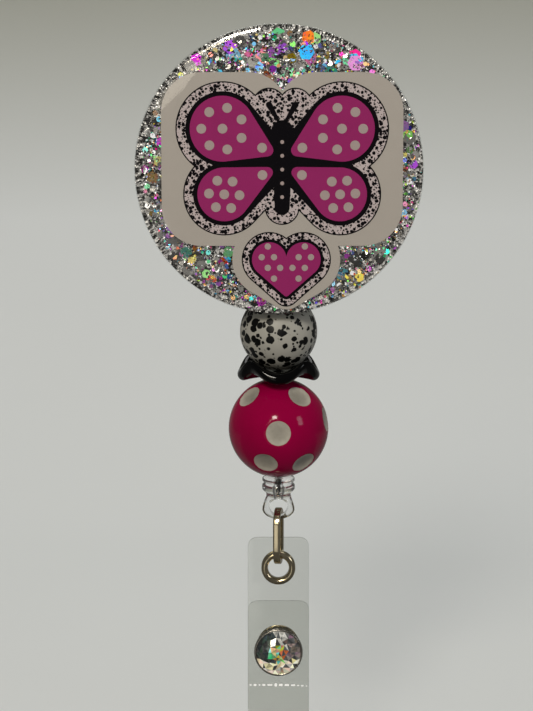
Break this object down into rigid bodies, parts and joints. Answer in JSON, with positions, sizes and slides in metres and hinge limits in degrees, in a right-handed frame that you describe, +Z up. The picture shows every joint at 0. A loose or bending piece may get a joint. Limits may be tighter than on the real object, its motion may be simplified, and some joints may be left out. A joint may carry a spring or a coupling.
{
  "type": "retractable badge reel",
  "caption": "Round glitter topper on a spring-wound cord reel with a swivel clip, stacked beads on the cord, and a clear vinyl strap with eyelet and snap for a badge.",
  "frame": {"origin": "middle of the clip's grip, between its jaws, 2 mm above the jaw tips", "axes": "+Z up, -Y to the front of the topper, +X to the viewer's right"},
  "size_m": [0.055, 0.028, 0.145],
  "materials": {
    "clip_steel": "bright nickel plate with fine rolling lines",
    "spring_steel": "drawn spring wire and ribbon",
    "case_plastic": "white moulded plastic, light gloss",
    "spool_plastic": "natural moulded plastic",
    "cord": "braided black cord",
    "foam_pad": "white foam tape",
    "clear_acrylic": "clear polished sheet",
    "glitter": "silver holographic chunky glitter in clear resin",
    "printed_vinyl": "white vinyl with pink dotted butterfly and heart print",
    "clear_resin": "clear glossy dome",
    "white_silicone": "satin off-white with black splatter",
    "black_gloss": "gloss black",
    "pink_acrylic": "gloss hot pink with recessed white dots",
    "clear_moulded": "clear moulded plastic",
    "nickel": "warm nickel plate",
    "clear_vinyl": "clear flexible vinyl",
    "snap_metal": "dark nickel plate",
    "rhinestone": "foil-backed faceted clear stone"
  },
  "bodies": {
    "clip": {"clip_base": "clip_steel", "clip_pin": "clip_steel", "clip_spring": "spring_steel"},
    "lever": {"clip_lever": "clip_steel"},
    "reel": {"case_front": "case_plastic", "case_back": "case_plastic", "swivel_rivet": "clip_steel", "cord_bushing": "case_plastic", "cord_inner_run": "cord", "adhesive_pad": "foam_pad", "acrylic_blank": "clear_acrylic", "glitter_coat": "glitter", "decal": "printed_vinyl", "resin_dome": "clear_resin"},
    "spool": {"spool": "spool_plastic", "cord_winding": "cord", "mainspring": "spring_steel", "spring_cover": "spool_plastic"},
    "cord_end": {"cord_lead": "cord", "cord_knot": "cord", "cord_stopper": "clear_moulded"},
    "white_bead": {"white_bead": "white_silicone"},
    "wavy_spacer": {"wavy_spacer": "black_gloss"},
    "pink_bead": {"pink_bead": "pink_acrylic"},
    "link": {"strap_link": "nickel"},
    "strap": {"strap_back": "clear_vinyl", "strap_fold": "clear_vinyl", "eyelet": "nickel", "eyelet_washer": "nickel", "snap_stud": "nickel", "snap_post": "nickel"},
    "flap": {"strap_flap": "clear_vinyl", "snap_bezel": "snap_metal", "snap_gem": "rhinestone", "snap_socket": "nickel"}
  },
  "joints": [
    {"name": "clip_open", "type": "hinge", "parent": "clip", "child": "lever", "pos_m": [0, 0.0023, 0.0205], "axis": [1, 0, 0], "range_deg": [0, 28], "stiffness_Nm_per_rad": 0.3, "springref_deg": -20.05},
    {"name": "reel_swivel", "type": "hinge", "parent": "clip", "child": "reel", "pos_m": [0, 0, 0.013], "axis": [0, 1, 0], "continuous": true},
    {"name": "cord_pull", "type": "slide", "parent": "reel", "child": "cord_end", "axis": [0, 0, -1], "range_m": [0, 0.6], "stiffness_N_per_m": 1.1, "springref_m": -0.8, "deforming": ["cord_lead"]},
    {"name": "spool_turn", "type": "hinge", "parent": "reel", "child": "spool", "pos_m": [0, -0.0082, 0.013], "axis": [0, -1, 0], "range_deg": [0, 3060]},
    {"name": "white_bead_spin", "type": "hinge", "parent": "cord_end", "child": "white_bead", "pos_m": [0, -0.0082, -0.0118], "axis": [0, 0, 1], "continuous": true},
    {"name": "spacer_spin", "type": "hinge", "parent": "cord_end", "child": "wavy_spacer", "pos_m": [0, -0.0082, -0.0202], "axis": [0, 0, 1], "continuous": true},
    {"name": "pink_bead_spin", "type": "hinge", "parent": "cord_end", "child": "pink_bead", "pos_m": [0, -0.0082, -0.031], "axis": [0, 0, 1], "continuous": true},
    {"name": "link_swing", "type": "hinge", "parent": "cord_end", "child": "link", "pos_m": [0, -0.0082, -0.04695], "axis": [0, 1, 0], "range_deg": [-75, 75]},
    {"name": "strap_swing", "type": "hinge", "parent": "link", "child": "strap", "pos_m": [0, -0.0082, -0.0554], "axis": [1, 0, 0], "range_deg": [-55, 55]},
    {"name": "flap_open", "type": "hinge", "parent": "strap", "child": "flap", "pos_m": [0, -0.00975, -0.0956], "axis": [1, 0, 0], "range_deg": [0, 120], "deforming": ["strap_fold"]}
  ],
  "couplings": [
    {"joint": "spool_turn", "follows": "cord_pull", "rad_per_m": 88.5}
  ]
}
